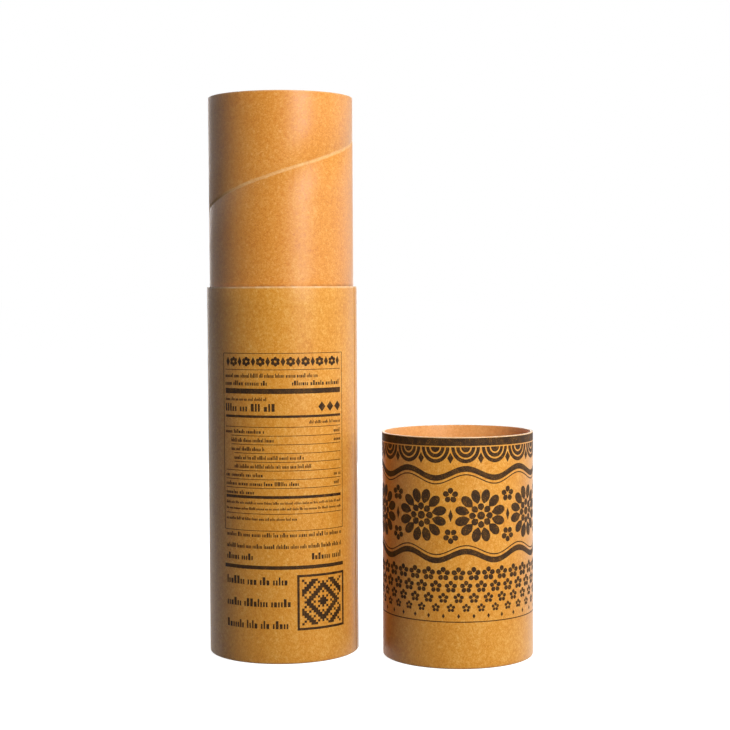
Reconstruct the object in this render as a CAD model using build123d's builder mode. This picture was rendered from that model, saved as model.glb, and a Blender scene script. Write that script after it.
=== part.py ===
"""Cylindrical gift tube box: a rigid paper tube with a telescoping cap, sized for a half-litre bottle.

The body is a board tube under a pasted kraft sheet, closed by a board disc. A slimmer spiral-wound
neck stands inside it and rises out of the shoulder. The cap is made from the same tube stock and slides
over the neck. It is shown taken off, standing upside down beside the body with its mouth up.

The origin is the middle of the body's underside, +Z is up, and the cap stands on the +X side.
"""

from build123d import *
from math import atan, ceil, cos, degrees, pi, sqrt
import os

os.makedirs("parts", exist_ok=True)

# Driving sizes of the box
outer_diameter = 80.0
body_height = 196.0
neck_rise = 100.5
cap_height = 119.0
stand_gap = 14.4

# Thicknesses of the board and paper
shell_wall = 1.0
wrap_thickness = 0.25
ply_thickness = 0.5
disc_thickness = 2.0
liner_thickness = 0.25
cover_thickness = 0.25

# Clearances: the paste film between layers, the cap on the neck, and a disc in its tube
paste_line = 0.02
slide_clearance = 0.2
disc_clearance = 0.05

# Closed ends: the sheet turns in under the edge, and a paper cover hides its raw edge
edge_ease = 0.8
hem_width = 8.0
cover_margin = 4.0

# Lapped seam of the kraft sheets: the top layer lies over the start of the sheet
lap_width = 10.0
lap_ramp = 1.5
body_lap_angle = -5.25
cap_lap_angle = 100.0

# Open butt seam between the turns of the neck's outer ply; its slit starts half a turn round from +X
half_turn = 180.0
seam_lead = 78.0
seam_gap = 0.8
seam_below_rim = 24.4
slit_overrun = 0.5

# Radii of the body and cap, from the outside in
tube_radius = outer_diameter / 2
lap_radius = tube_radius + wrap_thickness
wrap_bore = tube_radius - wrap_thickness
board_radius = wrap_bore - paste_line
board_bore = board_radius - shell_wall
disc_radius = board_bore - disc_clearance
hem_radius = tube_radius - hem_width
cover_radius = tube_radius - cover_margin

# The sheet turns the closed end's edge at half a right angle, and keeps its thickness there
inner_ease = edge_ease + (sqrt(2) - 1) * wrap_thickness
board_ease = inner_ease - wrap_thickness

# Radii of the neck's three plies, from the outside in
neck_radius = board_bore - slide_clearance
core_ply_radius = neck_radius - ply_thickness - paste_line
inner_ply_radius = core_ply_radius - ply_thickness - paste_line
neck_bore = inner_ply_radius - ply_thickness

# Levels, from the surface up: cover, turned-in sheet, board disc, liner
surface_level = 0.0
hem_level = surface_level + cover_thickness
board_level = hem_level + wrap_thickness
turn_level = hem_level + edge_ease
liner_level = board_level + disc_thickness
floor_level = liner_level + liner_thickness
neck_top = body_height + neck_rise
neck_length = neck_top - floor_level

# Places along X of the axes that the body and the cap stand on
body_x = 0.0
cap_x = outer_diameter + stand_gap


def upright_axis(axis_x):
    """The centre line of a tube that stands at axis_x."""
    return Axis((axis_x, 0, 0), (0, 0, 1))


def section_plane(axis_x):
    """The upright plane through a tube's centre line: x runs outwards from it and y runs up."""
    return Plane(origin=(axis_x, 0, 0), x_dir=(1, 0, 0), z_dir=(0, -1, 0))


def level_plane(axis_x, height):
    """The level plane at a height, centred on a tube's centre line."""
    return Plane(origin=(axis_x, 0, height))


def board_tube(name, axis_x, height):
    """A cut length of board tube, its bottom edge eased where the kraft sheet turns round it."""
    with BuildPart() as tube:
        with BuildSketch(level_plane(axis_x, board_level)):
            Circle(board_radius)
            Circle(board_bore, mode=Mode.SUBTRACT)
        extrude(amount=height - board_level)
        bottom_edges = tube.edges().group_by(Axis.Z)[0]
        chamfer(bottom_edges.sort_by(SortBy.RADIUS)[-1], length=board_ease)
    tube.part.label = name
    export_step(tube.part, f"parts/{name}.step")


def kraft_sheet(name, axis_x, height, lap_angle):
    """The sheet pasted round a tube: turned in under the closed end and lapped along a straight seam."""
    lap_arc = degrees(lap_width / tube_radius)
    ramp_arc = degrees(lap_ramp / tube_radius)
    lap_seat_radius = (wrap_bore + tube_radius) / 2
    with BuildPart() as sheet:
        with BuildSketch(section_plane(axis_x)):
            with BuildLine():
                Polyline(
                    (tube_radius, height),
                    (tube_radius, turn_level),
                    (tube_radius - edge_ease, hem_level),
                    (hem_radius, hem_level),
                    (hem_radius, board_level),
                    (tube_radius - inner_ease, board_level),
                    (wrap_bore, hem_level + inner_ease),
                    (wrap_bore, height),
                    close=True,
                )
            make_face()
        revolve(axis=upright_axis(axis_x))
        with BuildSketch(level_plane(axis_x, turn_level)):
            with BuildLine():
                top_layer = CenterArc((0, 0), lap_radius, lap_angle, lap_arc)
                seat = CenterArc((0, 0), lap_seat_radius, lap_angle, lap_arc + ramp_arc)
                Line(top_layer @ 0, seat @ 0)
                Line(top_layer @ 1, seat @ 1)
            make_face()
        extrude(amount=height - turn_level)
    sheet.part.label = name
    export_step(sheet.part, f"parts/{name}.step")


def round_sheet(name, axis_x, radius, level, thickness):
    """A round of board or paper at a closed end: the stiff disc, its kraft liner, or the cover below."""
    with BuildPart() as disc:
        with BuildSketch(level_plane(axis_x, level)):
            Circle(radius)
        extrude(amount=thickness)
    disc.part.label = name
    export_step(disc.part, f"parts/{name}.step")


def open_ply(name, outer_radius):
    """A neck ply wound as one ribbon, with an open seam that climbs the neck between its turns."""
    middle_radius = outer_radius - ply_thickness / 2
    climb_angle = atan(seam_lead / (2 * pi * middle_radius))
    seam_near_rim = neck_top - seam_below_rim
    turns_below = ceil((seam_near_rim - floor_level) / seam_lead)
    turns_above = ceil(seam_below_rim / seam_lead)
    first_turn = seam_near_rim - (turns_below + 1 / 2) * seam_lead
    with BuildPart() as seam_slit:
        with BuildLine() as seam_line:
            for turn in range(turns_below + turns_above + 1):
                turn_start = first_turn + turn * seam_lead
                Helix(seam_lead, seam_lead, middle_radius, center=(body_x, 0, turn_start))
        with BuildSketch(section_plane(body_x)):
            with Locations((middle_radius, first_turn)):
                Rectangle(ply_thickness + 2 * slit_overrun, seam_gap / cos(climb_angle))
        sweep(path=seam_line.wire(), is_frenet=True)
    with BuildPart() as ribbon:
        with BuildSketch(level_plane(body_x, floor_level)):
            Circle(outer_radius)
            Circle(outer_radius - ply_thickness, mode=Mode.SUBTRACT)
        extrude(amount=neck_length)
        add(seam_slit.part, rotation=(0, 0, half_turn), mode=Mode.SUBTRACT)
    ribbon.part.label = name
    export_step(ribbon.part, f"parts/{name}.step")


def tight_ply(name, outer_radius):
    """A neck ply whose turns butt tight, so that it is a plain thin tube."""
    with BuildPart() as ply:
        with BuildSketch(level_plane(body_x, floor_level)):
            Circle(outer_radius)
            Circle(outer_radius - ply_thickness, mode=Mode.SUBTRACT)
        extrude(amount=neck_length)
    ply.part.label = name
    export_step(ply.part, f"parts/{name}.step")


# The body: board tube, kraft sheet, and the closed end
board_tube("body_tube", body_x, body_height)
kraft_sheet("body_wrap", body_x, body_height, body_lap_angle)
round_sheet("base_disc", body_x, disc_radius, board_level, disc_thickness)
round_sheet("base_liner", body_x, disc_radius, liner_level, liner_thickness)
round_sheet("base_cover", body_x, cover_radius, surface_level, cover_thickness)

# The neck, standing on the liner inside the body
open_ply("neck_outer_ply", neck_radius)
tight_ply("neck_core_ply", core_ply_radius)
tight_ply("neck_inner_ply", inner_ply_radius)

# The cap, standing on its closed end beside the body
board_tube("cap_tube", cap_x, cap_height)
kraft_sheet("cap_wrap", cap_x, cap_height, cap_lap_angle)
round_sheet("cap_disc", cap_x, disc_radius, board_level, disc_thickness)
round_sheet("cap_liner", cap_x, disc_radius, liner_level, liner_thickness)
round_sheet("cap_cover", cap_x, cover_radius, surface_level, cover_thickness)

print(f"closed height {body_height + cap_height:.1f} mm")
print(f"neck bore radius {neck_bore:.2f} mm, neck radius {neck_radius:.2f} mm")
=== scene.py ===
# %% [markdown]
# # A gift tube box in kraft paper
#
# The box is a rigid paper tube for a tall bottle. A slimmer neck stands inside the body and rises out of
# it, and the cap slides down over that neck. Here the cap has been taken off and set down beside the
# body, mouth up. The frame holds the working parts at their real size. This script gives them their
# looks: the pasted kraft sheets with their lapped seams, the neck wound from a ribbon, the cut board at
# the rims, and the printing.

from math import atan, cos, degrees, pi, radians, sin
import random

import bpy
from mathutils import Euler, Matrix, Vector, noise


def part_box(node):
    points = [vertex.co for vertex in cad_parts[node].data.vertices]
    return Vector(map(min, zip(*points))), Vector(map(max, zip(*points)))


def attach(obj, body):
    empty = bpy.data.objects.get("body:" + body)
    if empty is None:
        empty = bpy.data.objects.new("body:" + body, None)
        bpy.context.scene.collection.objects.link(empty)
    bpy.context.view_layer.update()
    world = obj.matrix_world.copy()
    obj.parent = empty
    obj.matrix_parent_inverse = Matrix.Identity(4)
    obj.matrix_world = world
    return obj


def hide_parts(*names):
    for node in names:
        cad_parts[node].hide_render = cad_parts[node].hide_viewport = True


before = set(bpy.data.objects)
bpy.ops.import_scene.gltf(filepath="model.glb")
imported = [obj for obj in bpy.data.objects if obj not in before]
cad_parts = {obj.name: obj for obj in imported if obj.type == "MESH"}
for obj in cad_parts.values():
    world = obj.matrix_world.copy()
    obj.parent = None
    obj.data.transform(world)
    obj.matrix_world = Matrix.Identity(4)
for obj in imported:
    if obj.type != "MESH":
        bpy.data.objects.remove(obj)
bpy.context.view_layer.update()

# %% [markdown]
# ## Sizes
#
# Every size that the frame knows is read from it, so that the looks follow the parts. The sheet round
# the body is the outermost layer, and its lap stands a paper's thickness higher on one side, so the
# tube's radius is taken across the other way, along Y.

# %% Sizes read from the frame, in metres
mm = 0.001


def span(node, axis):
    """The lowest and the highest place of a part along an axis: 0, 1 or 2."""
    low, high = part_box(node)
    return low[axis], high[axis]


def half_width(node):
    """The radius of a round part, measured along Y, where no lap stands proud."""
    low, high = span(node, 1)
    return (high - low) / 2


tube_radius = half_width("body_wrap")
board_radius = half_width("body_tube")
neck_radius = half_width("neck_outer_ply")
core_radius = half_width("neck_core_ply")
lining_radius = half_width("neck_inner_ply")
cover_radius = half_width("base_cover")
body_axis = 0.0
cap_axis = sum(span("cap_tube", 0)) / 2
hem_level, body_top = span("body_wrap", 2)
cap_top = span("cap_wrap", 2)[1]
board_low = span("body_tube", 2)[0]
neck_low, neck_top = span("neck_outer_ply", 2)
paste_line = 0.02 * mm
neck_clearance = 0.2 * mm
paper = board_low - hem_level
ply = neck_radius - core_radius - paste_line
board_wall = board_radius - neck_radius - neck_clearance
print(f"radius of tube {tube_radius / mm:.2f} and neck {neck_radius / mm:.2f} mm")
print(f"cap axis {cap_axis / mm:.1f} mm from the body's")
print(f"paper {paper / mm:.2f}, ply {ply / mm:.2f}, board wall {board_wall / mm:.2f} mm")

# %% [markdown]
# ## The camera
#
# A camera can be placed by eye, but a tube's rims show its tilt so plainly that it pays to measure. The
# rims of the neck, the shoulder and the cap's mouth give its height: the shoulder is seen edge on, so
# the camera stands level with it. A long lens from nearly a metre away keeps the sides almost upright.

# %% Camera
camera_place = Vector((169.9, -853.8, 191.8)) * mm
camera_heading = radians(8.32)
camera_dip = radians(2.51)
camera_roll = radians(-0.33)
lens_length = 79.6
sensor_width = 36


def add_object(adder, **settings):
    """Adds an object with nothing else selected, and hands it over."""
    bpy.ops.object.select_all(action="DESELECT")
    adder(**settings)
    return bpy.context.object


def place_camera():
    """A long lens at shoulder height, a little to the right of the body."""
    camera = add_object(bpy.ops.object.camera_add, location=camera_place)
    camera.name = "camera"
    aim = Euler((pi / 2 - camera_dip, 0, camera_heading)).to_matrix() @ Matrix.Rotation(camera_roll, 3, "Z")
    camera.rotation_euler = aim.to_euler()
    camera.data.lens = lens_length
    camera.data.sensor_width = sensor_width
    bpy.context.scene.camera = camera
    return camera


print("camera lens:", place_camera().data.lens)

# %% [markdown]
# ## Helpers for node trees
#
# The surroundings and all materials are made of nodes. A few helpers keep their trees short to read: one
# adds a node with its settings, one adds a calculation, and one blends two colours.

# %% Helpers for node trees
def connect(tree, node, inputs):
    """Feeds a node's inputs: a socket is linked, and anything else is set as a plain value."""
    for name, value in inputs.items():
        if isinstance(value, bpy.types.NodeSocket):
            tree.links.new(value, node.inputs[name])
        else:
            node.inputs[name].default_value = value


def add(tree, kind, inputs=None, **settings):
    """A new node with its settings and its inputs."""
    node = tree.nodes.new(kind)
    for name, value in settings.items():
        setattr(node, name, value)
    connect(tree, node, inputs or {})
    return node


def reckon(tree, operation, first, second=0.0, third=None, clamp=False):
    """The result of one calculation on values or sockets."""
    inputs = {0: first, 1: second}
    if third is not None:
        inputs[2] = third
    return add(tree, "ShaderNodeMath", inputs, operation=operation, use_clamp=clamp).outputs[0]


def blend(tree, share, first, second):
    """Two colours mixed by a share between 0 and 1."""
    return add(tree, "ShaderNodeMix", {0: share, 6: first, 7: second}, data_type="RGBA").outputs[2]


def ramp(tree, value, low, high):
    """A value stretched so that low becomes 0 and high becomes 1, with soft ends."""
    inputs = {"Value": value, "From Min": low, "From Max": high}
    return add(tree, "ShaderNodeMapRange", inputs, interpolation_type="SMOOTHSTEP").outputs["Result"]


def fade(tree, value, low, high):
    """The opposite of a ramp: 1 up to low, and 0 from high on."""
    return reckon(tree, "SUBTRACT", 1.0, ramp(tree, value, low, high))


def cloud(tree, vector, scale, detail=2.0, distortion=0.0):
    """Soft noise with features of about one over the scale, in metres."""
    inputs = {"Vector": vector, "Scale": scale, "Detail": detail, "Distortion": distortion}
    return add(tree, "ShaderNodeTexNoise", inputs).outputs["Fac"]


def new_group(name, inputs, outputs):
    """An empty node group with its named sockets, and its two end nodes."""
    tree = bpy.data.node_groups.new(name, "ShaderNodeTree")
    for title, kind in inputs:
        tree.interface.new_socket(title, in_out="INPUT", socket_type="NodeSocket" + kind)
    for title, kind in outputs:
        tree.interface.new_socket(title, in_out="OUTPUT", socket_type="NodeSocket" + kind)
    return tree, tree.nodes.new("NodeGroupInput"), tree.nodes.new("NodeGroupOutput")


def fresh_material(name):
    """A new material and its node tree."""
    material = bpy.data.materials.new(name)
    material.use_nodes = True
    return material, material.node_tree


# %% [markdown]
# ## Light and background
#
# One large soft lamp stands to the right, in front and above. It makes the broad bright side, and leaves
# the left side to fall into brown. It is near enough for the foot of the tubes to be a little darker than
# the neck. A wide lamp at the right brightens the right edges, as a window there would, and one behind
# the box lights its far side. The world adds a faint even light, and is white where the camera or a
# reflection sees it.

# %% Lamps and world
lamp_middle = Vector((0.0, 0.0, 0.15))
white = (1, 1, 1, 1)
ambient = 0.04


def soft_lamp(name, bearing, reach, height, width, tall, power):
    """An area lamp at a bearing from the body's axis, aimed at the middle of the box."""
    place = Vector((cos(bearing) * reach, sin(bearing) * reach, height))
    aim = (lamp_middle - place).to_track_quat("-Z", "Y").to_euler()
    lamp = add_object(bpy.ops.object.light_add, type="AREA", location=place, rotation=aim)
    lamp.name = name
    lamp.data.shape = "RECTANGLE"
    lamp.data.size = width
    lamp.data.size_y = tall
    lamp.data.energy = power
    return lamp


soft_lamp("key_lamp", radians(-46), reach=0.66, height=0.42, width=0.30, tall=0.50, power=5.75)
soft_lamp("side_lamp", radians(18), reach=0.90, height=0.31, width=1.40, tall=0.45, power=2.9)
soft_lamp("back_lamp", radians(106), reach=0.90, height=0.35, width=0.70, tall=0.60, power=3.6)


def seen_directly(tree):
    """A value that is 1 for rays from the camera, and for reflected or refracted ones."""
    path = add(tree, "ShaderNodeLightPath").outputs
    first = reckon(tree, "MAXIMUM", path["Is Camera Ray"], path["Is Glossy Ray"])
    return reckon(tree, "MAXIMUM", first, path["Is Transmission Ray"])


def choose_if_seen(tree, unseen, seen, end):
    """Ends a tree in one of two shaders, by whether the ray sees the place directly."""
    inputs = {0: seen_directly(tree), 1: unseen.outputs[0], 2: seen.outputs[0]}
    choose = add(tree, "ShaderNodeMixShader", inputs)
    add(tree, end, {"Surface": choose.outputs[0]})


def white_world():
    """A faint even light that is plain white where it is seen."""
    world = bpy.data.worlds.new("white_room")
    world.use_nodes = True
    tree = world.node_tree
    tree.nodes.clear()
    faint = add(tree, "ShaderNodeBackground", {"Color": white, "Strength": ambient})
    plain = add(tree, "ShaderNodeBackground", {"Color": white})
    choose_if_seen(tree, faint, plain, "ShaderNodeOutputWorld")
    bpy.context.scene.world = world


white_world()
bpy.context.scene.view_settings.view_transform = "Standard"

# %% [markdown]
# ## The floor
#
# The box stands on a white table that runs out of sight. Seen directly, the floor glows almost white and
# a little lamp light makes up the rest, so the box's shadow stays as a faint grey. What it throws back
# at the box is dimmer, or the paper's foot would be lit from below.

# %% Floor
floor_size = 60
floor_glow = 0.968
floor_paint = (0.8, 0.8, 0.8, 1)
floor_bounce = (0.10, 0.10, 0.10, 1)


def floor():
    """A wide white table top at the level that the box stands on."""
    table = add_object(bpy.ops.mesh.primitive_plane_add, size=floor_size, location=(0, 0, 0))
    table.name = "floor"
    material, tree = fresh_material("floor_white")
    tree.nodes.clear()
    paint = add(tree, "ShaderNodeBsdfDiffuse", {"Color": floor_paint})
    glow = add(tree, "ShaderNodeEmission", {"Strength": floor_glow})
    lit = add(tree, "ShaderNodeAddShader", {0: paint.outputs[0], 1: glow.outputs[0]})
    dim = add(tree, "ShaderNodeBsdfDiffuse", {"Color": floor_bounce})
    choose_if_seen(tree, dim, lit, "ShaderNodeOutputMaterial")
    table.data.materials.append(material)
    return table


print("floor:", floor().name)

# %% [markdown]
# ## Building blocks for materials
#
# Kraft paper is one stuff in many places here, so its grain is made once, as a node group, and each
# material places it with its own colours. So are the bands of edge wear and painted light, and the lines
# of the windings.
#
# ### The grain of kraft paper
#
# Kraft is made from long brown fibres. Held close it is cloudy, with clumps about a millimetre across,
# short pale hairs and a few dark flecks of bark. The group works in the object's own coordinates, in
# metres. Its direction input stretches the fibres along the way that the sheet ran through the mill.

# %% Group: kraft grain
cloud_scale = 38.0
clump_scale = 520.0
fibre_scale = 1250.0
tooth_scale = 2400.0
fleck_scale = 520.0
hair_scale = 260.0


def kraft_grain():
    """Cloudy fibrous paper: its colour, its roughness and the height of its tooth."""
    wanted = [("Vector", "Vector"), ("Direction", "Vector"), ("Smoothest", "Float")]
    wanted += [("Base", "Color"), ("Dark", "Color"), ("Pale", "Color")]
    made = [("Color", "Color"), ("Roughness", "Float"), ("Height", "Float")]
    tree, given, result = new_group("kraft_grain", wanted, made)
    place = given.outputs["Vector"]
    inputs = {0: place, 1: given.outputs["Direction"]}
    along = add(tree, "ShaderNodeVectorMath", inputs, operation="MULTIPLY")
    clouds = cloud(tree, place, cloud_scale)
    clumps = cloud(tree, place, clump_scale, 3.0)
    fibres = cloud(tree, along.outputs[0], fibre_scale, 2.0, 0.8)
    tooth = cloud(tree, place, tooth_scale)
    coarse = reckon(tree, "MULTIPLY_ADD", clouds, 0.22, reckon(tree, "MULTIPLY", clumps, 0.38))
    fine = reckon(tree, "MULTIPLY_ADD", fibres, 0.6, reckon(tree, "MULTIPLY", tooth, 0.6))
    tone = reckon(tree, "ADD", coarse, fine)
    colour = blend(tree, ramp(tree, tone, 0.66, 0.92), given.outputs["Dark"], given.outputs["Base"])
    colour = blend(tree, ramp(tree, tone, 0.88, 1.14), colour, given.outputs["Pale"])

    folds = cloud(tree, along.outputs[0], hair_scale, 1.0, 2.5)
    contour = reckon(tree, "ABSOLUTE", reckon(tree, "SUBTRACT", folds, 0.5))
    hair = fade(tree, contour, 0.004, 0.016)
    hair_share = reckon(tree, "MULTIPLY", hair, ramp(tree, clumps, 0.5, 0.62))
    colour = blend(tree, reckon(tree, "MULTIPLY", hair_share, 0.45), colour, given.outputs["Pale"])

    spots = add(tree, "ShaderNodeTexVoronoi", {"Vector": place, "Scale": fleck_scale})
    fleck = fade(tree, spots.outputs["Distance"], 0.08, 0.2)
    rare = ramp(tree, cloud(tree, place, 240.0), 0.6, 0.68)
    fleck_share = reckon(tree, "MULTIPLY", fleck, reckon(tree, "MULTIPLY", rare, 0.7))
    colour = blend(tree, fleck_share, colour, given.outputs["Dark"])

    raised = reckon(tree, "MULTIPLY_ADD", tooth, 0.3, reckon(tree, "MULTIPLY", hair_share, 0.3))
    height = reckon(tree, "MULTIPLY_ADD", fibres, 0.5, raised)
    rough = reckon(tree, "MULTIPLY_ADD", clumps, 0.2, given.outputs["Smoothest"])
    connect(tree, result, {"Color": colour, "Roughness": rough, "Height": height})
    return tree


grain_group = kraft_grain()
print("group:", grain_group.name, len(grain_group.nodes), "nodes")

# %% [markdown]
# ### Worn edges and painted light
#
# Hands and the cap wear the rims first. What that leaves is a thin, broken line along the edge; along the
# sheets' top edge that line is also a painted highlight. This group gives a mask that is full at a level
# and fades within a short way, broken up by noise. The same group, with its levels swapped, lays painted
# shade at the foot of the sheets and a thin painted shadow on the neck just above the shoulder.

# %% Group: band of wear and painted light
def wear_and_painted_light_band():
    """A broken line along the level To, that fades out at the level From."""
    wanted = [("Vector", "Vector"), ("From", "Float"), ("To", "Float")]
    tree, given, result = new_group("wear_and_painted_light_band", wanted, [("Mask", "Float")])
    height = add(tree, "ShaderNodeSeparateXYZ", {"Vector": given.outputs["Vector"]}).outputs["Z"]
    inputs = {"Value": height, "From Min": given.outputs["From"], "From Max": given.outputs["To"]}
    near = add(tree, "ShaderNodeMapRange", inputs).outputs["Result"]
    patches = ramp(tree, cloud(tree, given.outputs["Vector"], 240.0, 3.0), 0.4, 0.66)
    broken = reckon(tree, "MULTIPLY_ADD", patches, 0.5, 0.5)
    connect(tree, result, {"Mask": reckon(tree, "MULTIPLY", near, broken, clamp=True)})
    return tree


wear_and_painted_light_group = wear_and_painted_light_band()
print("group:", wear_and_painted_light_group.name)

# %% [markdown]
# ### The ends of wound board
#
# A cut end of tube board shows its layers as fine rings, paler than the outside because the blade opens
# fresh fibres. The group measures the distance from the tube's axis. The cap stands beside the body, so
# its material first moves the pattern to its own axis.

# %% Group: ply rings
ring_spacing = 0.25 * mm


def ply_rings():
    """Concentric rings for the cut end of a wound tube."""
    tree, given, result = new_group("ply_rings", [("Vector", "Vector")], [("Rings", "Float")])
    parts = add(tree, "ShaderNodeSeparateXYZ", {"Vector": given.outputs["Vector"]})
    square = reckon(tree, "MULTIPLY", parts.outputs["Y"], parts.outputs["Y"])
    square = reckon(tree, "MULTIPLY_ADD", parts.outputs["X"], parts.outputs["X"], square)
    wobble = reckon(tree, "MULTIPLY", cloud(tree, given.outputs["Vector"], 300.0), 0.08 * mm)
    reach = reckon(tree, "ADD", reckon(tree, "SQRT", square), wobble)
    wave = reckon(tree, "SINE", reckon(tree, "MULTIPLY", reach, 2 * pi / ring_spacing))
    connect(tree, result, {"Rings": reckon(tree, "MULTIPLY_ADD", wave, 0.5, 0.5)})
    return tree


ring_group = ply_rings()
print("group:", ring_group.name)

# %% [markdown]
# ### The line of a winding
#
# Every tube here is wound from ribbons, and the line between two turns of a ribbon climbs at a steady
# rate. The group gives the distance up or down to that line, from the place's bearing and height. The
# lead is the climb in one turn, and the phase says where the line starts.

# %% Group: winding line
def winding_line():
    """The upright distance from a place to the nearest turn of a climbing line."""
    wanted = [("Vector", "Vector"), ("Lead", "Float"), ("Phase", "Float")]
    tree, given, result = new_group("winding_line", wanted, [("Distance", "Float")])
    parts = add(tree, "ShaderNodeSeparateXYZ", {"Vector": given.outputs["Vector"]})
    around = reckon(tree, "ARCTAN2", parts.outputs["Y"], parts.outputs["X"])
    turns_round = reckon(tree, "DIVIDE", around, 2 * pi)
    turns_up = reckon(tree, "DIVIDE", parts.outputs["Z"], given.outputs["Lead"])
    started = reckon(tree, "ADD", turns_up, given.outputs["Phase"])
    turn = reckon(tree, "FRACT", reckon(tree, "SUBTRACT", started, turns_round))
    off_line = reckon(tree, "ABSOLUTE", reckon(tree, "SUBTRACT", turn, 0.5))
    connect(tree, result, {"Distance": reckon(tree, "MULTIPLY", off_line, given.outputs["Lead"])})
    return tree


winding_group = winding_line()
print("group:", winding_group.name)

# %% [markdown]
# ## The materials
#
# Each finish starts the same way: a fresh material, its coordinates and a Principled shader. The paper's
# colour and roughness come from the grain group, and its tooth goes through a Bump node. Plain values,
# such as how strongly it reflects, are set on the shader itself.

# %% A paper finish
fuzz = 0.3
fuzz_roughness = 0.5
tooth_height = 0.09 * mm


def paper_finish(name, colours, axis_x=0.0, direction=(1, 1, 0.7), smoothest=0.32, reflection=0.26):
    """A material with the kraft grain, and the sockets that its own marks can be added to."""
    base, dark, pale = colours
    material, tree = fresh_material(name)
    place = add(tree, "ShaderNodeTexCoord").outputs["Object"]
    moved = {"Vector": place, "Location": (-axis_x, 0, 0)}
    centred = add(tree, "ShaderNodeMapping", moved).outputs["Vector"]
    inputs = {
        "Vector": centred,
        "Direction": direction,
        "Base": base,
        "Dark": dark,
        "Pale": pale,
        "Smoothest": smoothest,
    }
    grain = add(tree, "ShaderNodeGroup", inputs, node_tree=grain_group).outputs
    inputs = {"Height": grain["Height"], "Strength": 0.5, "Distance": tooth_height}
    looks = {
        "Base Color": grain["Color"],
        "Roughness": grain["Roughness"],
        "Normal": add(tree, "ShaderNodeBump", inputs).outputs["Normal"],
        "Specular IOR Level": reflection,
        "Sheen Weight": fuzz,
        "Sheen Roughness": fuzz_roughness,
    }
    connect(tree, tree.nodes["Principled BSDF"], looks)
    return material, tree, centred, grain["Color"]


def mark(tree, group, place, **inputs):
    """What a group with one output, such as a mask, gives at a place."""
    return add(tree, "ShaderNodeGroup", {"Vector": place, **inputs}, node_tree=group).outputs[0]


def recolour(tree, mask, colour, onto, strength=1.0):
    """Lays a colour over what the shader shows, by a mask."""
    mixed = blend(tree, reckon(tree, "MULTIPLY", mask, strength), onto, colour)
    connect(tree, tree.nodes["Principled BSDF"], {"Base Color": mixed})
    return mixed


# %% [markdown]
# ### Kraft for the sheets, the neck and the board
#
# The sheets round the body and the cap are a matt yellow-brown. The neck's outer ply is a redder,
# smoother kraft. Where paper is cut or torn the fibres are pale. The board's bore keeps the faint line
# of its own winding, which climbs round the inside.

# %% The open seam of the neck's outer ply
seam_lead = 78.0 * mm
seam_gap = 0.8 * mm
seam_below_rim = 24.4 * mm
seam_phase = 0.5 - (neck_top - seam_below_rim) / seam_lead

# %% Paper colours and materials
kraft_dark = (0.54, 0.185, 0.008, 1)
kraft_colours = ((0.67, 0.275, 0.024, 1), kraft_dark, (0.79, 0.42, 0.095, 1))
neck_colours = ((0.67, 0.25, 0.02, 1), (0.54, 0.155, 0.006, 1), (0.79, 0.38, 0.09, 1))
# The colour of the painted shadow on the neck just above the shoulder.
neck_contact_shadow = (0.34, 0.12, 0.012, 1)
core_pale = (0.84, 0.52, 0.22, 1)
core_colours = ((0.76, 0.39, 0.125, 1), (0.66, 0.29, 0.07, 1), core_pale)
bore_colours = ((0.74, 0.33, 0.095, 1), (0.62, 0.245, 0.06, 1), (0.81, 0.41, 0.14, 1))
fresh_fibre = (0.84, 0.58, 0.31, 1)
fresh_shade = (0.70, 0.42, 0.18, 1)
fresh_colours = (fresh_fibre, fresh_shade, fresh_fibre)
# A dark brown for the dark joints, the bore's winding line and the lap's step; it also paints the shade at
# the sheets' foot.
joint_and_shade_brown = (0.36, 0.165, 0.035, 1)
grey_colours = ((0.36, 0.30, 0.235, 1), (0.26, 0.215, 0.165, 1), fresh_shade)


def sheet_kraft(name, axis_x, top):
    """The printed sheet's paper: pale along its top edge, partly rubbed fibres and partly a painted
    highlight, and darkened by painted shade at its foot.
    """
    material, tree, place, colour = paper_finish(name, kraft_colours, axis_x)
    # A pale band below the top edge: partly rubbed fibres, partly a painted highlight along the edge.
    pale_rim = mark(tree, wear_and_painted_light_group, place, From=top - 1.1 * mm, To=top - 0.3 * mm)
    colour = recolour(tree, pale_rim, fresh_fibre, colour)
    # Painted shade: the sheet is darkened towards its foot, where it rounds under the closed end.
    foot_shade = mark(tree, wear_and_painted_light_group, place, From=hem_level + 1.6 * mm, To=hem_level)
    recolour(tree, foot_shade, joint_and_shade_brown, colour, strength=0.6)
    return material


def bore_kraft(name, axis_x, lead, phase):
    """The inside of a wound tube, with the fine line where its last ply butts."""
    material, tree, place, colour = paper_finish(name, bore_colours, axis_x)
    from_line = mark(tree, winding_group, place, Lead=lead, Phase=phase)
    recolour(tree, fade(tree, from_line, 0.12 * mm, 0.4 * mm), joint_and_shade_brown, colour, strength=0.6)
    return material


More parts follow.
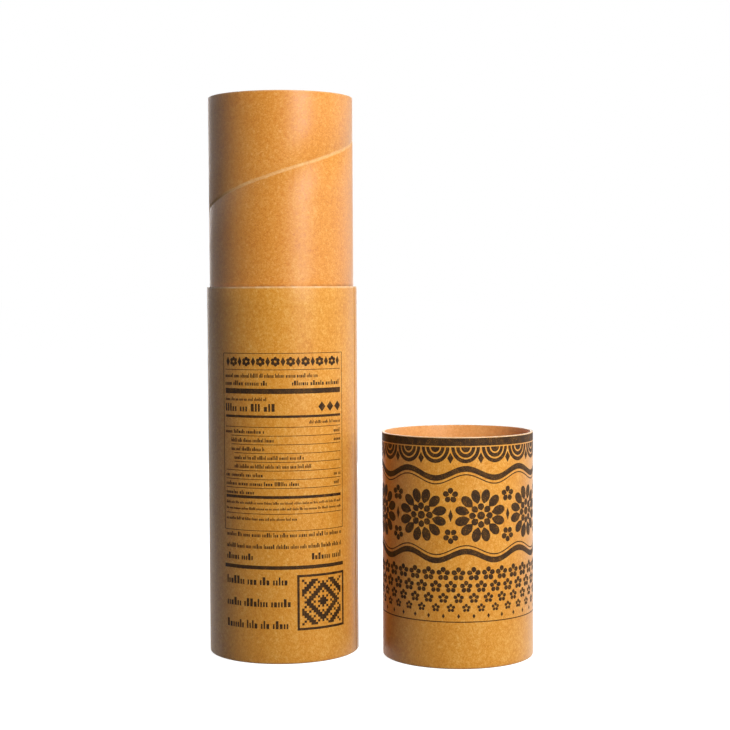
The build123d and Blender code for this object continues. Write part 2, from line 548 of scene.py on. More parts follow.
def neck_finish():
    """The neck's outer ply: redder, rubbed at the rim, with a painted shadow just above the shoulder, torn
    beside its seam.
    """
    material, tree, place, colour = paper_finish(
        "neck_kraft", neck_colours, direction=(0.9, 0.9, 1.1), smoothest=0.33, reflection=0.42
    )
    pale_rim = mark(tree, wear_and_painted_light_group, place, From=neck_top - 0.9 * mm, To=neck_top)
    colour = recolour(tree, pale_rim, fresh_fibre, colour, strength=0.5)
    from_seam = mark(tree, winding_group, place, Lead=seam_lead, Phase=seam_phase)
    tufts = reckon(tree, "MULTIPLY_ADD", ramp(tree, cloud(tree, place, 900.0, 3.0), 0.4, 0.65), 0.5, 0.15)
    colour = recolour(tree, fade(tree, from_seam, 0.5 * mm, 1.3 * mm), core_pale, colour, strength=tufts)
    # Painted shadow: a thin dark band on the neck just above the shoulder, where it stands in the body's
    # rim.
    shoulder_shadow = mark(tree, wear_and_painted_light_group, place, From=body_top + 1.6 * mm, To=body_top + 0.5 * mm)
    recolour(tree, shoulder_shadow, neck_contact_shadow, colour, strength=0.7)
    return material


def cut_board(name, axis_x):
    """The pale cut end of tube board, with its rings."""
    material, tree, place, colour = paper_finish(name, fresh_colours, axis_x)
    recolour(tree, mark(tree, ring_group, place), fresh_shade, colour, strength=0.35)
    return material


body_kraft = sheet_kraft("body_kraft", body_axis, body_top)
cap_kraft = sheet_kraft("cap_kraft", cap_axis, cap_top)
neck_kraft = neck_finish()
core_kraft = paper_finish("core_kraft", core_colours, smoothest=0.5)[0]
torn_kraft = paper_finish("torn_kraft", fresh_colours, smoothest=0.5)[0]
seam_edge = paper_finish("seam_edge", (joint_and_shade_brown, joint_and_shade_brown, kraft_dark), smoothest=0.5)[0]
cap_bore_kraft = bore_kraft("cap_bore_kraft", cap_axis, lead=74 * mm, phase=0.64)
neck_bore_kraft = bore_kraft("neck_bore_kraft", body_axis, lead=76 * mm, phase=0.12)
body_cut_board = cut_board("body_cut_board", body_axis)
cap_cut_board = cut_board("cap_cut_board", cap_axis)
cover_kraft = paper_finish("cover_kraft", kraft_colours, direction=(1, 0.6, 1))[0]
liner_kraft = paper_finish("liner_kraft", bore_colours, direction=(1, 0.6, 1))[0]
disc_board = paper_finish("disc_board", grey_colours, smoothest=0.5)[0]
print("paper materials:", len(bpy.data.materials))

# %% [markdown]
# ### Ink
#
# The print is one dark brown ink on rough paper, so it doesn't cover fully. Tiny spots of kraft show
# through where the tooth of the paper missed the plate, and the solid parts are a little cloudy.

# %% Ink
ink_solid = (0.026, 0.012, 0.004, 1)
ink_thin = (0.060, 0.029, 0.009, 1)
bare_speck = (0.34, 0.13, 0.016, 1)
ink_tooth_scale = 2200.0
ink_reflection = 0.12


def printing_ink(name, show_through):
    """Dark brown ink with specks of bare paper."""
    material, tree = fresh_material(name)
    place = add(tree, "ShaderNodeTexCoord").outputs["Object"]
    cloudy = ramp(tree, cloud(tree, place, 300.0, 3.0), 0.35, 0.7)
    colour = blend(tree, cloudy, ink_solid, ink_thin)
    missed = ramp(tree, cloud(tree, place, ink_tooth_scale), 0.58 - show_through, 0.70 - show_through)
    shown = reckon(tree, "MULTIPLY", missed, reckon(tree, "MULTIPLY_ADD", cloudy, 0.5, 0.25))
    colour = blend(tree, shown, colour, bare_speck)
    inputs = {"Height": cloud(tree, place, ink_tooth_scale), "Strength": 0.3, "Distance": 0.04 * mm}
    looks = {
        "Base Color": colour,
        "Roughness": reckon(tree, "MULTIPLY_ADD", cloudy, 0.12, 0.55),
        "Normal": add(tree, "ShaderNodeBump", inputs).outputs["Normal"],
        "Specular IOR Level": ink_reflection,
    }
    connect(tree, tree.nodes["Principled BSDF"], looks)
    return material


panel_ink = printing_ink("panel_ink", 0.0)
block_ink = printing_ink("block_ink", 0.03)
print("inks:", panel_ink.name, block_ink.name)

# %% [markdown]
# ## Tools for modelling
#
# The pieces are modelled as by hand: a primitive is added at its size and place, parts of it are picked
# by where they are, and operators shape them. Every operator works on all that is selected, so each
# step first leaves only its own piece selected.

# %% Helpers for modelling
sides = 180
touch = 0.01 * mm
paper_ease = 0.05 * mm
ply_ease = 0.06 * mm


def leave_edit():
    """Goes back from edit mode to object mode."""
    bpy.ops.object.mode_set(mode="OBJECT")


def work_on(piece, mode="OBJECT"):
    """Selects this piece alone and opens it in a mode."""
    if bpy.context.object and bpy.context.object.mode != "OBJECT":
        leave_edit()
    bpy.ops.object.select_all(action="DESELECT")
    piece.select_set(True)
    bpy.context.view_layer.objects.active = piece
    if mode != "OBJECT":
        bpy.ops.object.mode_set(mode=mode)


def pick(piece, kind, test):
    """Opens the piece in edit mode with the vertices, edges or faces selected that pass the test."""
    work_on(piece, "EDIT")
    bpy.ops.mesh.select_mode(type=kind)
    bpy.ops.mesh.select_all(action="DESELECT")
    bpy.ops.object.mode_set(mode="OBJECT")
    mesh = piece.data
    if kind == "VERT":
        for vertex in mesh.vertices:
            vertex.select = test(vertex.co)
    elif kind == "EDGE":
        for edge in mesh.edges:
            edge.select = test(*(mesh.vertices[i].co for i in edge.vertices))
    else:
        for face in mesh.polygons:
            face.select = test(face.center, face.normal)
    bpy.ops.object.mode_set(mode="EDIT")


def freeze(piece, name=None):
    """Puts the piece's place, turn and size into its mesh, and names it."""
    work_on(piece)
    bpy.ops.object.transform_apply(location=True, rotation=True, scale=True)
    if name:
        piece.name = name
        piece.data.name = name
    return piece


def modify(piece, kind, **settings):
    """Adds a modifier with its settings and applies it."""
    work_on(piece)
    bpy.ops.object.modifier_add(type=kind)
    modifier = piece.modifiers[-1]
    for name, value in settings.items():
        setattr(modifier, name, value)
    bpy.ops.object.modifier_apply(modifier=modifier.name)


def thicken(piece, thickness, offset=-1):
    """Gives a skin its thickness, inwards unless told otherwise."""
    modify(piece, "SOLIDIFY", thickness=thickness, offset=offset, use_even_offset=True)


def ease(piece, width, steps=2):
    """Rounds the sharp edges and shades the rest smooth."""
    modify(piece, "BEVEL", width=width, segments=steps, limit_method="ANGLE", angle_limit=radians(30))
    work_on(piece)
    bpy.ops.object.shade_smooth_by_angle(angle=radians(40))


def finish_piece(piece, body, nodes, materials):
    """Gives the piece its materials, its body, and the frame's parts that it stands for."""
    for material in materials:
        piece.data.materials.append(material)
    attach(piece, body)
    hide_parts(*nodes)
    print(f"{piece.name}: {len(piece.data.polygons)} faces")
    return piece


def open_tube(name, axis_x, radius, low, high, turn=0.0, rings=12):
    """A tube's skin, open at both ends, with a few rings of edges along its height."""
    tube = add_object(
        bpy.ops.mesh.primitive_cylinder_add,
        vertices=sides,
        radius=radius,
        depth=high - low,
        end_fill_type="NOTHING",
        location=(axis_x, 0, (low + high) / 2),
        rotation=(0, 0, turn),
    )
    freeze(tube, name)
    pick(tube, "EDGE", lambda a, b: abs(a.z - b.z) > (high - low) / 2)
    bpy.ops.mesh.subdivide(number_cuts=rings)
    leave_edit()
    return tube


def bearing(place, axis_x):
    """The direction of a place from a tube's axis, in degrees."""
    return degrees(Vector((1, 0)).angle_signed(Vector((place.x - axis_x, place.y)), 0)) * -1


def reach(place, axis_x):
    """The distance of a place from a tube's axis."""
    return Vector((place.x - axis_x, place.y)).length


def shade_faces(piece, index, test):
    """Gives one of the piece's materials to the faces that pass the test."""
    for face in piece.data.polygons:
        if test(face.center, face.normal):
            face.material_index = index


# %% [markdown]
# ## The board tubes
#
# The body and the cap are lengths of the same wound board tube. On the real box the board only shows at
# the cut ends and inside the cap. A cylinder's skin gets its wall by Solidify, and a fine bevel at the
# ends catches the light as a cut edge does. The faces at the ends take the cut board's material.

# %% Board tubes
cut_ease = 0.12 * mm


def board_tube(name, axis_x, top, body, node, bore, cut):
    """A cut length of board tube."""
    tube = open_tube(name, axis_x, board_radius, board_low, top)
    thicken(tube, board_wall)
    ease(tube, cut_ease, 3)
    finish_piece(tube, body, [node], [bore, cut])
    shade_faces(tube, 1, lambda centre, normal: abs(normal.z) > 0.3)
    return tube


board_tube("body_board_tube", body_axis, body_top, "tube", "body_tube", neck_bore_kraft, body_cut_board)
board_tube("cap_board_tube", cap_axis, cap_top, "cap", "cap_tube", cap_bore_kraft, cap_cut_board)

# %% [markdown]
# ## The kraft sheets
#
# A sheet is pasted round each tube. Its foot turns in under the closed end, and its side edges lap along
# one straight seam. It could be a cylinder with a bump for the seam, but the lap shows as a real step
# when light grazes it. So the skin is turned in at the foot with an extrude and a bevel, given a paper's
# thickness, and the strip of the top layer is then extruded outwards. Its far side is let down again,
# because that side is the start of the sheet showing through from below.

# %% Kraft sheets
foot_round = 0.8 * mm
hem_width = 8.0 * mm
lap_columns = 7
body_lap = -5.25
cap_lap = 100.0
column = 360 / sides


def kraft_sheet(name, axis_x, top, lap, body, node, material):
    """The printed sheet round a tube, with its turned-in foot and its lap."""
    sheet = open_tube(name, axis_x, tube_radius, hem_level, top, radians(lap), 20)
    middle = (axis_x, 0, hem_level)
    pick(sheet, "VERT", lambda place: place.z < hem_level + touch)
    bpy.ops.mesh.extrude_region_move()
    inner = (tube_radius - hem_width) / tube_radius
    bpy.ops.transform.resize(value=(inner, inner, 1), center_override=middle)

    def on_corner(a, b):
        low = max(a.z, b.z) < hem_level + touch
        return low and min(reach(a, axis_x), reach(b, axis_x)) > tube_radius - touch

    pick(sheet, "EDGE", on_corner)
    bpy.ops.mesh.bevel(offset=foot_round, segments=5, profile=0.5, affect="EDGES")
    pick(sheet, "FACE", lambda centre, normal: True)
    bpy.ops.mesh.normals_make_consistent(inside=False)
    leave_edit()
    thicken(sheet, paper)

    def in_lap(centre, normal):
        past = (bearing(centre, axis_x) - lap) % 360
        on_wall = centre.z > hem_level + 2 * foot_round and reach(centre, axis_x) > tube_radius - 0.1 * mm
        return on_wall and abs(normal.z) < 0.5 and past < (lap_columns + 1) * column

    pick(sheet, "FACE", in_lap)
    bpy.ops.mesh.extrude_region_shrink_fatten(TRANSFORM_OT_shrink_fatten={"value": paper})
    far_side = lap + (lap_columns + 1) * column

    def at_far_side(place):
        apart = abs((bearing(place, axis_x) - far_side + 180) % 360 - 180)
        return apart < column / 4 and reach(place, axis_x) > tube_radius + paper / 2

    pick(sheet, "VERT", at_far_side)
    down = tube_radius / (tube_radius + paper)
    bpy.ops.transform.resize(value=(down, down, 1), center_override=middle)
    bpy.ops.mesh.select_all(action="SELECT")
    bpy.ops.mesh.remove_doubles(threshold=0.005 * mm)
    leave_edit()
    ease(sheet, paper_ease)
    finish_piece(sheet, body, [node], [material, torn_kraft, seam_edge])
    shade_faces(sheet, 1, lambda centre, normal: normal.z > 0.7 and centre.z > top - paper)

    def on_step(centre, normal):
        outwards = Vector((centre.x - axis_x, centre.y)).normalized()
        facing = outwards.dot(Vector((normal.x, normal.y)))
        return reach(centre, axis_x) > tube_radius + 0.02 * mm and abs(facing) < 0.6 and abs(normal.z) < 0.5

    # The lap's step wall gets the dark brown seam_edge material, so the lap shows as a thin dark line.
    shade_faces(sheet, 2, on_step)
    return sheet


kraft_sheet("body_sheet", body_axis, body_top, body_lap, "tube", "body_wrap", body_kraft)
kraft_sheet("cap_sheet", cap_axis, cap_top, cap_lap, "cap", "cap_wrap", cap_kraft)

# %% [markdown]
# ## The neck
#
# The neck is three plies of kraft. The two inner ones are tubes whose winding butts tight. The outer one
# is a ribbon wound round them with an open seam, which shows as a pale rough line climbing the neck. It
# could be a line painted on a cylinder, but at the rim and against the light the real gap tells. So the
# ribbon is modelled flat, as long as its nearly five turns, and leaning as it climbs. It is trimmed level
# at the top and the bottom and given its thickness. Its edges are then torn a little and let down, as a
# ribbon's edges are, and a Bend modifier rolls it up.

# %% Winding a strip
rough_edge = 0.16 * mm
torn_width = 0.35 * mm
torn_sink = 0.28 * mm
tear_spacing = 0.8 * mm
front = radians(90)
circumference = 2 * pi * neck_radius
slope = seam_lead / circumference
upright_gap = seam_gap / cos(atan(slope))
seam_at_front = neck_top - seam_below_rim - seam_lead * front / (2 * pi)


def roll_up(piece, axis_x, radius):
    """Bends a flat sheet in the XZ plane round a tube's axis, with x counted from the front of it."""
    across = [vertex.co.x for vertex in piece.data.vertices]
    turn = (max(across) - min(across)) / radius
    modify(piece, "SIMPLE_DEFORM", deform_method="BEND", deform_axis="Z", angle=turn)
    piece.location = (axis_x, -radius, 0)
    freeze(piece)


def upright_grid(columns, rows):
    """A grid of unit size in the XZ plane."""
    grid = {"x_subdivisions": columns, "y_subdivisions": rows, "size": 1}
    return add_object(bpy.ops.mesh.primitive_grid_add, rotation=(pi / 2, 0, 0), **grid)


def flat_strip(name, low_end, width, rows, materials):
    """A strip that climbs as the seam does, trimmed level at the rim and the foot, still flat."""
    start = (neck_low - width - low_end) / slope
    stop = (neck_top - low_end) / slope
    columns = round((stop - start) / circumference * 2 * sides)
    strip_piece = upright_grid(columns, rows)
    strip_piece.scale = (stop - start, width, 1)
    strip_piece.location = ((start + stop) / 2, 0, width / 2)
    freeze(strip_piece, name)
    for material in materials:
        strip_piece.data.materials.append(material)
    row = width / rows
    if row > torn_width:
        for vertex in strip_piece.data.vertices:
            if row / 2 < vertex.co.z < row * 1.5:
                vertex.co.z = torn_width
            elif row / 2 < width - vertex.co.z < row * 1.5:
                vertex.co.z = width - torn_width
        shade_faces(strip_piece, 1, lambda centre, normal: min(centre.z, width - centre.z) < torn_width)
    lean = Matrix(((1, 0, 0, 0), (0, 1, 0, 0), (slope, 0, 1, low_end), (0, 0, 0, 1)))
    strip_piece.data.transform(lean)
    for level, side in ((neck_top, {"clear_outer": True}), (neck_low, {"clear_inner": True})):
        work_on(strip_piece, "EDIT")
        bpy.ops.mesh.select_all(action="SELECT")
        bpy.ops.mesh.bisect(plane_co=(0, 0, level), plane_no=(0, 0, 1), **side)
    leave_edit()
    return strip_piece


# %% The ribbon
def neck_ribbon():
    """The neck's outer ply, wound with an open seam."""
    width = seam_lead - upright_gap
    low_end = seam_at_front + upright_gap / 2
    ribbon = flat_strip("neck_ribbon", low_end, width, 8, [neck_kraft, core_kraft])
    thicken(ribbon, ply)
    for vertex in ribbon.data.vertices:
        place = vertex.co
        across = place.z - slope * place.x - low_end
        from_edge = min(across, width - across)
        trimmed = place.z > neck_top - touch or place.z < neck_low + touch
        if from_edge > 1.5 * torn_width:
            continue
        if not trimmed:
            along_edge = Vector((place.x / tear_spacing, 9.7 * (across > width / 2), 4.2))
            place.z += rough_edge * noise.noise(along_edge)
        if from_edge < torn_width / 2 and place.y < ply / 2:
            place.y += torn_sink
    roll_up(ribbon, body_axis, neck_radius)
    modify(ribbon, "BEVEL", width=ply_ease, segments=2, limit_method="ANGLE", angle_limit=radians(60))
    bpy.ops.object.shade_smooth_by_angle(angle=radians(50))
    return finish_piece(ribbon, "tube", ["neck_outer_ply"], [])


neck_ribbon()

# %% [markdown]
# ### The inner plies
#
# The core ply shows in the open seam, pale and matt, and at the rim. Paste and torn fibres fill the seam
# half way up, or it would be a dark groove, so a thin strip of them is wound onto the core. The innermost
# ply lines the bore.

# %% Inner plies
fibre_bed = 0.25 * mm
fibre_tuft = 0.2 * mm


def inner_ply(name, radius, node, materials):
    """One of the neck's tight plies."""
    tube = open_tube(name, body_axis, radius, neck_low, neck_top)
    thicken(tube, ply)
    ease(tube, ply_ease)
    finish_piece(tube, "tube", [node], materials)
    shade_faces(tube, 1, lambda centre, normal: abs(normal.z) > 0.3)
    return tube


def seam_fibres():
    """The fibres that fill the open seam half way, wound onto the core ply."""
    width = upright_gap + 2 * rough_edge
    fibres = flat_strip("seam_fibres", seam_at_front - width / 2, width, 4, [core_kraft])
    for vertex in fibres.data.vertices:
        place = vertex.co
        lift = noise.noise(Vector((place.x / tear_spacing, place.z / tear_spacing, 1.3)))
        place.y -= fibre_tuft * (0.5 + 0.5 * lift)
    thicken(fibres, fibre_bed)
    roll_up(fibres, body_axis, core_radius + fibre_bed)
    bpy.ops.object.shade_smooth_by_angle(angle=radians(60))
    return finish_piece(fibres, "tube", [], [])


inner_ply("neck_core", core_radius, "neck_core_ply", [core_kraft, torn_kraft])
seam_fibres()
inner_ply("neck_lining", lining_radius, "neck_inner_ply", [neck_bore_kraft, torn_kraft])

# %% [markdown]
# ## The closed ends
#
# A round paper cover hides the raw edge of the turned-in sheet under each closed end. It was pasted down
# by hand, so it sinks a little where the sheet ends below it. It starts as a flat round, is inset into
# rings, and its middle is pushed in by a paper's thickness. The board disc and its liner are simple and
# mostly hidden, so the frame's own parts stay and get their finish.

# %% Covers, discs and liners
cover_dip = 0.18 * mm
rim_rings = (3.2 * mm, 0.6 * mm, 0.8 * mm)
dipped_rings = (9 * mm, 10 * mm, 9 * mm)


def cover_sheet(name, axis_x, body, node):
    """The paper cover pasted over a closed end."""
    shape = {"vertices": sides, "radius": cover_radius, "fill_type": "NGON", "rotation": (pi, 0, 0)}
    cover = add_object(bpy.ops.mesh.primitive_circle_add, location=(axis_x, 0, 0), **shape)
    freeze(cover, name)
    pick(cover, "FACE", lambda centre, normal: True)
    for step in rim_rings:
        bpy.ops.mesh.inset(thickness=step)
    bpy.ops.transform.translate(value=(0, 0, cover_dip))
    for step in dipped_rings:
        bpy.ops.mesh.inset(thickness=step)
    leave_edit()
    thicken(cover, paper)
    ease(cover, paper_ease)
    return finish_piece(cover, body, [node], [cover_kraft])


cover_sheet("base_cover_paper", body_axis, "tube", "base_cover")
cover_sheet("cap_cover_paper", cap_axis, "cap", "cap_cover")
for node, material in (
    ("base_disc", disc_board),
    ("cap_disc", disc_board),
    ("base_liner", liner_kraft),
    ("cap_liner", liner_kraft),
):
    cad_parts[node].data.materials.clear()
    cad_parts[node].data.materials.append(material)
    print(node, "keeps its shape and gets", material.name)

# %% [markdown]
# ## Shapes for printing
#
# The printing is modelled as ink with a real edge, so that it stays sharp from near and far. A printer
# works from a set of blocks, and so does this: a few flat shapes of unit size in the XZ plane, each made
# once from a primitive. Stamping copies a block to its place on the unrolled sheet.

# %% Printing blocks
chance = random.Random(41)
petal_levels = (0.05, -0.2, -0.35)
petal_shares = (0.94, 0.86, 0.72)


def block(name, adder, **settings):
    """A flat shape of unit size that faces the front."""
    return freeze(add_object(adder, rotation=(pi / 2, 0, 0), **settings), name)


def ring_block(name, hole_share, **settings):
    """A flat ring: a circle's edge extruded inwards."""
    ring = block(name, bpy.ops.mesh.primitive_circle_add, radius=0.5, fill_type="NOTHING", **settings)
    pick(ring, "VERT", lambda place: True)
    bpy.ops.mesh.extrude_region_move()
    bpy.ops.transform.resize(value=(hole_share, 1, hole_share), center_override=(0, 0, 0))
    pick(ring, "FACE", lambda centre, normal: normal.y > 0)
    bpy.ops.mesh.flip_normals()
    leave_edit()
    return ring


def upper_half(piece, name):
    """Keeps the half of a block above its middle."""
    work_on(piece, "EDIT")
    bpy.ops.mesh.select_all(action="SELECT")
    bpy.ops.mesh.bisect(plane_co=(0, 0, 0), plane_no=(0, 0, 1), clear_inner=True)
    leave_edit()
    piece.name = name
    return piece


def round_block(name, corners=20):
    """A disc, or with few corners a regular shape."""
    return block(name, bpy.ops.mesh.primitive_circle_add, radius=0.5, vertices=corners, fill_type="NGON")


def petal_block():
    """A petal that stands on its point: a circle whose lower half is drawn in, row by row."""
    petal = round_block("petal_block")
    for level, share in zip(petal_levels, petal_shares):
        pick(petal, "VERT", lambda place: place.z < level)
        bpy.ops.transform.resize(value=(share, 1, 1), center_override=(0, 0, 0))
    leave_edit()
    return petal


bar_block = block("bar_block", bpy.ops.mesh.primitive_plane_add, size=1)
disc_block = round_block("disc_block")
diamond_block = round_block("diamond_block", corners=4)
petal = petal_block()
blocks = [bar_block, disc_block, diamond_block, petal]
print("blocks:", [piece.name for piece in blocks])


def stamp(sheet, shape, arc, height, width, tall, turn=0.0):
    """Copies a block to a place on the unrolled sheet: arc from the front, height up the tube."""
    copy = shape.copy()
    copy.data = shape.data.copy()
    copy.location = (arc, 0, height)
    copy.rotation_euler = (0, turn, 0)
    copy.scale = (width, 1, tall)
    bpy.context.scene.collection.objects.link(copy)
    sheet.append(copy)
    return copy


def petal_ring(sheet, arc, height, count, inner, outer, width, first=0.0):
    """Petals set round a centre like the hours of a clock, each cut a little differently."""
    for index in range(count):
        turn = first + 2 * pi * index / count + chance.uniform(-0.03, 0.03)
        middle = (inner + outer) / 2
        size = chance.uniform(0.96, 1.03)
        place = (arc + sin(turn) * middle, height + cos(turn) * middle)
        stamp(sheet, petal, *place, width * size, (outer - inner) * size, turn)


def floret(sheet, arc, height, size, petals=5, first=0.0):
    """A small flower."""
    petal_ring(sheet, arc, height, petals, size * 0.1, size * 0.5, size * 0.37, first)


def join_stamps(sheet, name):
    """Joins the stamped copies into one flat print."""
    work_on(sheet[0])
    for copy in sheet:
        copy.select_set(True)
    bpy.ops.object.join()
    return freeze(bpy.context.object, name)


# %% [markdown]
# ## Laying the print on the tube
#
# A flat print has to bend without corners, so it is first cut along upright lines every two
# millimetres. Then the Bend modifier rolls it up just outside the sheet, and Solidify gives the ink its
# thin body. Where the print runs over the lap, it is lifted by the paper's thickness before it is bent.

# %% Wrapping a print
ink_body = 0.035 * mm
ink_clear = 0.008 * mm
strip = 2.0 * mm


def cut_upright(piece, arc):
    """Cuts the flat print along an upright line."""
    bpy.ops.mesh.select_all(action="SELECT")
    bpy.ops.mesh.bisect(plane_co=(arc, 0, 0), plane_no=(1, 0, 0))


def lay_print(piece, axis_x, lap=None):
    """Cuts a flat print into strips, lifts it over the lap, rolls it up and gives it its body."""
    across = [vertex.co.x for vertex in piece.data.vertices]
    first, last = min(across), max(across)
    work_on(piece, "EDIT")
    for step in range(1, int((last - first) / strip) + 1):
        cut_upright(piece, first + step * strip)
    if lap is not None:
        from_front = (lap + 270) % 360 - 180
        edge = radians(from_front) * tube_radius
        flat_end = edge + radians(lap_columns * column) * tube_radius
        ramp_end = flat_end + radians(column) * tube_radius
        for arc in (edge - 0.04 * mm, edge, flat_end, ramp_end):
            cut_upright(piece, arc)
        leave_edit()
        for vertex in piece.data.vertices:
            past = vertex.co.x - edge
            if -0.02 * mm < past < ramp_end - edge:
                share = min(1.0, (ramp_end - edge - past) / (ramp_end - flat_end))
                vertex.co.y = -paper * share
    leave_edit()
    roll_up(piece, axis_x, tube_radius + ink_clear)
    thicken(piece, ink_body, 1)
    bpy.ops.object.shade_smooth_by_angle(angle=radians(40))


# %% [markdown]
# ## The panel on the body
#
# Tubes like this carry a ruled panel of small print on the back. This one says nothing: its lines of
# print are rows of plain ticks, its heading is a band of florets and diamonds, and the square below it is
# a stepped diamond like a woven tile. The rules and bars are real ones, at a real size.

# %% The panel's layout, in metres on the unrolled sheet
panel_left = -27.0 * mm
panel_right = 43.4 * mm
panel_low = 69.6 * mm
panel_high = 161.8 * mm
panel_margin = 1.6 * mm
hair_rule = 0.30 * mm
text_left = panel_left + panel_margin
text_right = panel_right - panel_margin


def bar(sheet, left, right, low, high):
    """A filled bar between two arcs and two heights."""
    stamp(sheet, bar_block, (left + right) / 2, (low + high) / 2, right - left, high - low)


def rule(sheet, height, weight=hair_rule, left=text_left, right=text_right):
    """A level rule."""
    bar(sheet, left, right, height - weight / 2, height + weight / 2)


def tick_line(sheet, left, right, middle, tall, weight, fill=1.0):
    """A line of ticks in groups, as long as a line of small print would be."""
    place = left
    gap = weight * 0.75
    while place < left + (right - left) * fill:
        for tick in range(chance.randint(3, 8)):
            if place + weight > right:
                return
            rise = chance.choice((0.62, 0.62, 0.62, 1.0))
            width = weight * chance.choice((1.0, 1.0, 1.7))
            low = middle - tall / 2
            bar(sheet, place, min(place + width, right), low, low + tall * rise)
            place += width + gap
        place += weight * 1.6


def heading_band(sheet, left, right, middle, tall):
    """A border of florets and diamonds in the place of a heading."""
    count = 2 * round((right - left) / (tall * 1.7)) + 1
    pitch = (right - left) / count
    for index in range(count):
        place = left + (index + 0.5) * pitch
        if index % 2:
            floret(sheet, place, middle, tall, 6)
        else:
            stamp(sheet, diamond_block, place, middle, tall * 0.5, tall)


# %% Panel: frame, heading and rows
heading_height = 157.4 * mm
heading_tall = 5.0 * mm
row_top = 123.5
row_pitch = 4.52

# Rules, in millimetres: height and weight
upper_rules = ((153.2, 0.30), (142.1, 2.7), (129.0, 1.3))
lower_rules = ((87.2, 1.5), (78.5, 0.30))

# Lines of ticks, in millimetres: side and length, or all across; height, tallness and weight; share filled
upper_ticks = (
    ("across", 0, 150.2, 2.2, 0.36, 0.75),
    ("left", 26, 146.3, 2.5, 0.58, 1),
    ("right", 29, 146.3, 2.5, 0.58, 1),
    ("left", 25, 138.0, 1.8, 0.34, 1),
    ("left", 30, 133.6, 4.0, 0.95, 1),
    ("right", 20, 126.0, 1.7, 0.34, 1),
)
lower_ticks = (
    ("across", 0, 84.2, 1.4, 0.28, 1),
    ("across", 0, 81.2, 1.4, 0.28, 1),
    ("across", 0, 75.9, 1.6, 0.30, 0.6),
)

# Rows under their rules: indent and length in millimetres, and whether a figure ends the row
panel_entries = (
    (0, 24, True),
    (4, 25, True),
    (4, 20, False),
    (6, 38, False),
    (6, 42, False),
    (0, 23, True),
    (0, 42, True),
    (0, 19, False),
)


def print_rules(sheet, rules):
    """The rules of a table."""
    for height, weight in rules:
        rule(sheet, height * mm, weight * mm)


def print_ticks(sheet, lines):
    """The lines of ticks of a table."""
    for side, length, height, tall, weight, fill in lines:
        left = text_right - length * mm if side == "right" else text_left
        right = text_left + length * mm if side == "left" else text_right
        tick_line(sheet, left, right, height * mm, tall * mm, weight * mm, fill)


def panel_frame(sheet):
    """The panel's outline."""
    for height in (panel_high - hair_rule / 2, panel_low + hair_rule / 2):
        rule(sheet, height, hair_rule, panel_left, panel_right)
    for left in (panel_left, panel_right - hair_rule):
        bar(sheet, left, left + hair_rule, panel_low + hair_rule, panel_high - hair_rule)


def panel_rows(sheet):
    """The heading, the heavy bars and the ruled rows of the panel."""
    heading_band(sheet, text_left, text_right, heading_height, heading_tall)
    print_rules(sheet, upper_rules)
    print_ticks(sheet, upper_ticks)
    for index in range(3):
        stamp(sheet, diamond_block, text_right - (2.2 + index * 5.2) * mm, 133.8 * mm, 4.4 * mm, 5.2 * mm)
    for index, (indent, length, figure) in enumerate(panel_entries):
        height = (row_top - index * row_pitch) * mm
        rule(sheet, height, left=text_left + (indent * mm if index else 0))
        bold = 0.52 * mm if indent == 0 else 0.36 * mm
        left = text_left + indent * mm
        tick_line(sheet, left, left + length * mm, height - 2.25 * mm, 2.1 * mm, bold)
        if figure:
            tick_line(sheet, text_right - 5 * mm, text_right, height - 2.25 * mm, 2.1 * mm, 0.5 * mm)
    print_rules(sheet, lower_rules)
    print_ticks(sheet, lower_ticks)


# %% Below the panel: lines, a heavy rule and the woven tile
tile_cells = 23
tile_side = 29.0 * mm
below_ticks = (
    ("across", 0, 67.6, 2.3, 0.46, 1),
    ("across", 0, 61.6, 2.3, 0.42, 1),
    ("left", 17, 56.0, 3.4, 0.75, 1),
    ("right", 19, 56.0, 3.4, 0.75, 1),
    ("left", 37, 43.6, 4.2, 0.85, 1),
    ("left", 37, 32.2, 4.2, 0.85, 1),
    ("left", 37, 20.8, 4.2, 0.85, 1),
)


def woven_tile(sheet, middle_arc, middle_height):
    """A square of small cells in stepped diamonds, the same on all four sides."""
    tile = freeze(upright_grid(tile_cells, tile_cells), "woven_tile")
    half = tile_cells // 2

    def bare(centre, normal):
        across = abs(round(centre.x * tile_cells))
        up = abs(round(centre.z * tile_cells))
        framed = max(across, up) == half
        diamond = (across + up) % 6 in (0, 1, 2)
        dot = (across + up) % 6 == 4 and across % 2 == 0
        return not (framed or (max(across, up) < half - 1 and (diamond or dot)))

    pick(tile, "FACE", bare)
    bpy.ops.mesh.delete(type="FACE")
    leave_edit()
    stamp(sheet, tile, middle_arc, middle_height, tile_side, tile_side)
    blocks.append(tile)


def lower_lines(sheet):
    """What stands below the panel."""
    print_ticks(sheet, below_ticks)
    rule(sheet, 50.6 * mm, 1.9 * mm, panel_left, panel_right)
    woven_tile(sheet, 29.2 * mm, 32.2 * mm)


panel_sheet = []
panel_frame(panel_sheet)
panel_rows(panel_sheet)
lower_lines(panel_sheet)
print("panel stamps:", len(panel_sheet))
body_print = join_stamps(panel_sheet, "body_print")
lay_print(body_print, body_axis)
finish_piece(body_print, "tube", [], [panel_ink])

# %% [markdown]
# ## The block print on the cap
#
# The cap carries a dark ornament that nearly covers it. It is built like an old fabric border, from
# plain motifs that anyone may use: fans along the mouth, a row of large rosettes between two waving
# ribbons, and a lattice of small florets that thins out towards the closed end. The petals differ a
# little from one another, as hand-cut blocks do.

# %% The cap's layout
cap_turn = 2 * pi * tube_radius
fans = 16
rosettes = 8
lattice_columns = 32
print_left = -cap_turn / 2 + 0.1 * mm
print_right = -print_left
wave_rise = 2.4 * mm
ribbon_weight = 3.0 * mm
thread_weight = 0.6 * mm
thread_offset = 3.0 * mm
fan_size = 14.8 * mm
floret_size = 8.0 * mm
floret_offset = 10.4 * mm

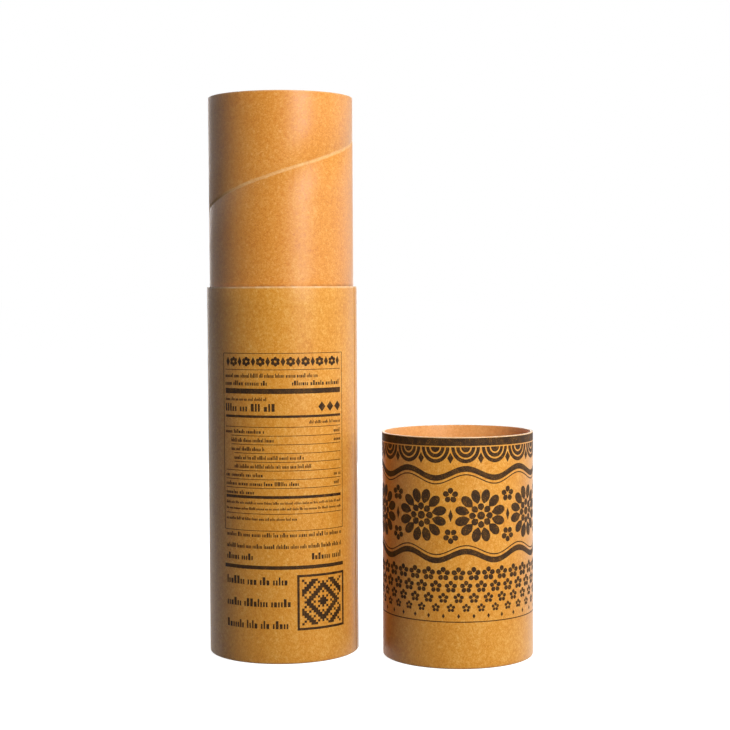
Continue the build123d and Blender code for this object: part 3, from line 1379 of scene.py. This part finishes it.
# Levels of the print
band_top = cap_top - 0.4 * mm
band_foot = cap_top - 4.4 * mm
fan_level = cap_top - 5.0 * mm
gap_level = cap_top - 10.6 * mm
upper_ribbon = cap_top - 18.4 * mm
rosette_level = cap_top - 40.0 * mm
lower_ribbon = cap_top - 60.6 * mm
lattice_depths = (69.8, 76.4, 82.2, 87.2)
lattice_sizes = (7.3, 6.5, 5.5, 4.5)
dot_level = cap_top - 91.4 * mm
last_level = cap_top - 94.4 * mm


def arc_of(index, count):
    """The arc of one of count places spaced evenly all round."""
    return (index + 0.5) * cap_turn / count - cap_turn / 2


def fan_blocks():
    """Half rings of two sizes and a half disc, which nest into a fan."""
    made = []
    for outer_share, inner_share in ((1.0, 0.76), (0.66, 0.42)):
        half = upper_half(ring_block("fan_ring", inner_share / outer_share, vertices=40), "fan_ring")
        made.append((half, outer_share))
    made.append((upper_half(round_block("fan_middle", corners=32), "fan_middle"), 0.32))
    return made


def fan_row(sheet, height, size, made):
    """A row of fans that hang from a line."""
    for index in range(fans):
        for shape, share in made:
            stamp(sheet, shape, arc_of(index, fans), height, size * share, size * share * 1.1, pi)


def rosette(sheet, arc, height):
    """A large rosette of two rings of petals round an eye."""
    petal_ring(sheet, arc, height, 12, inner=6.2 * mm, outer=13.8 * mm, width=5.0 * mm, first=pi / 12)
    petal_ring(sheet, arc, height, 8, inner=2.6 * mm, outer=6.4 * mm, width=3.6 * mm)
    stamp(sheet, disc_block, arc, height, 4.2 * mm, 4.2 * mm)


def waving_ribbon(sheet, height, weight):
    """A band that waves once over each rosette: a long grid whose vertices are lifted by a sine."""
    ribbon = upright_grid(rosettes * 24, 1)
    ribbon.scale = (print_right - print_left, weight, 1)
    freeze(ribbon, "ribbon")
    for vertex in ribbon.data.vertices:
        vertex.co.z += wave_rise * sin(2 * pi * rosettes * vertex.co.x / cap_turn) + height
    sheet.append(ribbon)


# %% The cap's print, from the mouth down
def mouth_border(sheet):
    """A solid band with hanging fans, and diamonds in the gaps between them."""
    bar(sheet, print_left, print_right, band_foot, band_top)
    fan_parts = fan_blocks()
    blocks.extend(shape for shape, share in fan_parts)
    fan_row(sheet, fan_level, fan_size, fan_parts)
    for index in range(fans):
        stamp(sheet, diamond_block, arc_of(index + 0.5, fans), gap_level, 3.2 * mm, 5.6 * mm)


def rosette_band(sheet):
    """Large rosettes between two waving ribbons."""
    waving_ribbon(sheet, upper_ribbon, ribbon_weight)
    waving_ribbon(sheet, upper_ribbon - thread_offset, thread_weight)
    for index in range(rosettes):
        rosette(sheet, arc_of(index, rosettes), rosette_level)
        between = arc_of(index + 0.5, rosettes)
        floret(sheet, between, rosette_level + floret_offset, floret_size)
        floret(sheet, between, rosette_level - floret_offset, floret_size, first=pi)
        stamp(sheet, diamond_block, between, rosette_level, 2.4 * mm, 6.6 * mm)
    waving_ribbon(sheet, lower_ribbon + thread_offset, thread_weight)
    waving_ribbon(sheet, lower_ribbon, ribbon_weight)


def lattice(sheet):
    """Staggered rows of florets that shrink towards the closed end, then dots and a rule."""
    for row, (depth, size) in enumerate(zip(lattice_depths, lattice_sizes)):
        for index in range(lattice_columns):
            arc = arc_of(index + 0.5 * (row % 2), lattice_columns)
            floret(sheet, arc, cap_top - depth * mm, size * mm)
    for index in range(lattice_columns):
        stamp(sheet, diamond_block, arc_of(index, lattice_columns), dot_level, 1.6 * mm, 2.6 * mm)
    rule(sheet, last_level, 0.5 * mm, print_left, print_right)


cap_print_sheet = []
mouth_border(cap_print_sheet)
rosette_band(cap_print_sheet)
lattice(cap_print_sheet)
print("cap stamps:", len(cap_print_sheet))
cap_print = join_stamps(cap_print_sheet, "cap_print")
lay_print(cap_print, cap_axis, cap_lap)
finish_piece(cap_print, "cap", [], [block_ink])
for shape in blocks:
    bpy.data.objects.remove(shape)
